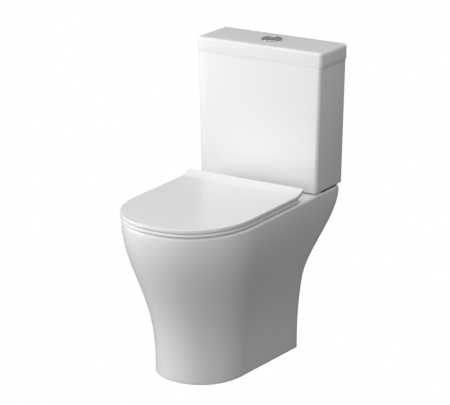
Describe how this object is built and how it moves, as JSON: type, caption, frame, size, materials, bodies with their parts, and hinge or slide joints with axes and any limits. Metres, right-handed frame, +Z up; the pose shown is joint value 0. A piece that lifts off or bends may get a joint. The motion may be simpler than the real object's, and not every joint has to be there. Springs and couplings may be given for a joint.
{
  "type": "close coupled toilet",
  "caption": "White floor standing toilet: flared pan with open back, cistern bolted on its deck, slim soft close seat and lid, dual flush button.",
  "frame": {"origin": "on the floor, midway between the wall and the front of the seat lid, on the centre line", "axes": "+Z up, +Y back towards the wall, +X to the right of someone who faces the toilet"},
  "size_m": [0.36, 0.61, 0.7715],
  "materials": {
    "china": "white glazed vitreous china",
    "seat": "smooth glossy white",
    "chrome": "polished chrome plate",
    "bright_steel": "bright zinc plate",
    "brass": "turned brass",
    "rubber": "black moulded rubber",
    "soft_grey": "grey soft buffer rubber",
    "grey_plastic": "grey moulded plastic",
    "white_plastic": "white moulded plastic"
  },
  "bodies": {
    "pan_and_cistern": {"pan": "china", "hinge_gaskets": "rubber", "hinge_bases": "chrome", "hinge_posts": "chrome", "damper_barrels": "grey_plastic", "hinge_bolts": "bright_steel", "hinge_washers": "rubber", "hinge_nuts": "grey_plastic", "cistern": "china", "cistern_pads": "rubber", "coupling_bolts": "brass", "bolt_rubber_washers": "rubber", "bolt_steel_washers": "bright_steel", "deck_washers": "rubber", "coupling_wing_nuts": "brass", "doughnut_washer": "rubber", "valve_base": "grey_plastic", "valve_base_washer": "rubber", "valve_backnut": "grey_plastic", "valve_cage": "grey_plastic", "valve_head": "grey_plastic", "lever_pin": "bright_steel", "fill_riser": "grey_plastic", "fill_washer": "rubber", "fill_backnut": "grey_plastic", "inlet_filter": "white_plastic", "fill_cap": "white_plastic", "fill_downpipe": "grey_plastic", "arm_pin": "bright_steel", "blanking_plug": "grey_plastic", "blanking_washer": "rubber", "blanking_nut": "grey_plastic"},
    "seat_ring_body": {"seat_ring": "seat", "ring_buffers": "soft_grey", "ring_bushes": "grey_plastic"},
    "seat_lid_body": {"seat_lid": "seat", "lid_buffers": "soft_grey", "lid_bushes": "grey_plastic"},
    "cistern_lid_body": {"cistern_lid": "china", "button_collar": "chrome", "button_sleeve": "grey_plastic", "sleeve_backnut": "grey_plastic", "full_spring": "bright_steel", "half_spring": "bright_steel"},
    "full_button_body": {"full_button": "chrome", "full_rod": "white_plastic"},
    "half_button_body": {"half_button": "chrome", "half_rod": "white_plastic"},
    "lever_body": {"lift_lever": "white_plastic"},
    "flush_piston": {"overflow_tube": "white_plastic", "valve_seal": "rubber"},
    "float_body": {"float_cup": "white_plastic"},
    "arm_body": {"float_arm": "grey_plastic"}
  },
  "joints": [
    {"name": "seat_lift", "type": "hinge", "parent": "pan_and_cistern", "child": "seat_ring_body", "pos_m": [0, 0.124, 0.419], "axis": [-1, 0, 0], "range_deg": [0, 95]},
    {"name": "lid_lift", "type": "hinge", "parent": "seat_ring_body", "child": "seat_lid_body", "pos_m": [0, 0.124, 0.419], "axis": [1, 0, 0], "range_deg": [-95, 0]},
    {"name": "cistern_lid_lift", "type": "slide", "parent": "pan_and_cistern", "child": "cistern_lid_body", "axis": [0, 0, 1], "range_m": [0, 0.2]},
    {"name": "full_flush_press", "type": "slide", "parent": "cistern_lid_body", "child": "full_button_body", "axis": [0, 0, -1], "range_m": [0, 0.008], "stiffness_N_per_m": 400, "springref_m": -0.012, "deforming": ["full_spring"]},
    {"name": "half_flush_press", "type": "slide", "parent": "cistern_lid_body", "child": "half_button_body", "axis": [0, 0, -1], "range_m": [0, 0.008], "stiffness_N_per_m": 400, "springref_m": -0.006, "deforming": ["half_spring"]},
    {"name": "lever_tilt", "type": "hinge", "parent": "pan_and_cistern", "child": "lever_body", "pos_m": [-0.024, 0.238, 0.597], "axis": [0, 1, 0], "range_deg": [0, 35]},
    {"name": "flush_lift", "type": "slide", "parent": "pan_and_cistern", "child": "flush_piston", "axis": [0, 0, 1], "range_m": [0, 0.0125]},
    {"name": "float_rise", "type": "slide", "parent": "pan_and_cistern", "child": "float_body", "axis": [0, 0, 1], "range_m": [0, 0.012]},
    {"name": "float_arm_tilt", "type": "hinge", "parent": "pan_and_cistern", "child": "arm_body", "pos_m": [-0.139, 0.238, 0.655], "axis": [0, -1, 0], "range_deg": [0, 22]}
  ],
  "couplings": [
    {"joint": "lever_tilt", "follows": "full_flush_press", "rad_per_m": 75},
    {"joint": "flush_lift", "follows": "full_flush_press", "ratio": 1.5},
    {"joint": "float_arm_tilt", "follows": "float_rise", "rad_per_m": 29.4}
  ]
}
